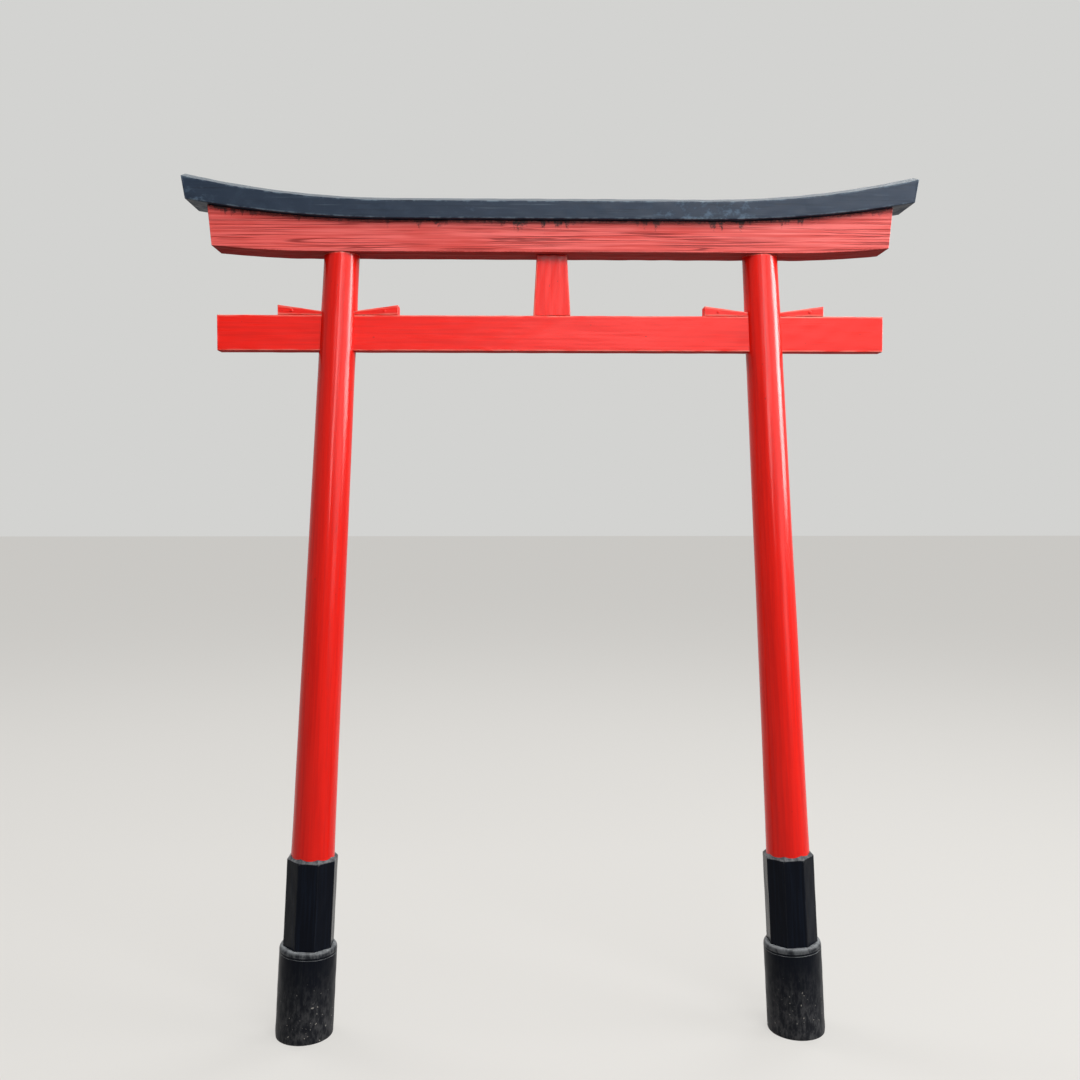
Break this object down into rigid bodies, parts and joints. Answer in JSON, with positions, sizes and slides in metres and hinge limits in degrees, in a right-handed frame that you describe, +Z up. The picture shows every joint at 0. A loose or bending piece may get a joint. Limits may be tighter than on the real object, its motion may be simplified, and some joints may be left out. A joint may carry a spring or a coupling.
{
  "type": "torii gate",
  "caption": "Small wooden torii gate: leaning round posts in black feet, a wedged tie beam with a centre strut, and a double lintel that curves up at its ends.",
  "frame": {"origin": "on the ground, midway between the two posts", "axes": "+X along the lintels to the right seen from the front, +Y through the gate away from the front, +Z up"},
  "size_m": [1.99, 0.16, 2.3813],
  "materials": {
    "vermilion_paint": "gloss vermilion enamel over planed timber, grain showing through",
    "weathered_vermilion": "faded vermilion paint with dark streaks under the top edge",
    "sleeve_black": "gloss black paint on boards",
    "collar_black": "black paint, dusty near the ground",
    "slate_paint": "weathered blue-black paint"
  },
  "bodies": {
    "root": {"post_left": "vermilion_paint", "root_collar_left": "collar_black", "sleeve_board_left_1": "sleeve_black", "sleeve_board_left_2": "sleeve_black", "sleeve_board_left_3": "sleeve_black", "sleeve_board_left_4": "sleeve_black", "sleeve_board_left_5": "sleeve_black", "sleeve_board_left_6": "sleeve_black", "sleeve_board_left_7": "sleeve_black", "sleeve_board_left_8": "sleeve_black", "wedge_left_inner": "vermilion_paint", "wedge_left_outer": "vermilion_paint", "post_right": "vermilion_paint", "root_collar_right": "collar_black", "sleeve_board_right_1": "sleeve_black", "sleeve_board_right_2": "sleeve_black", "sleeve_board_right_3": "sleeve_black", "sleeve_board_right_4": "sleeve_black", "sleeve_board_right_5": "sleeve_black", "sleeve_board_right_6": "sleeve_black", "sleeve_board_right_7": "sleeve_black", "sleeve_board_right_8": "sleeve_black", "wedge_right_inner": "vermilion_paint", "wedge_right_outer": "vermilion_paint", "tie_beam": "vermilion_paint", "centre_strut": "vermilion_paint", "lower_lintel": "weathered_vermilion", "upper_lintel": "slate_paint"}
  },
  "joints": []
}
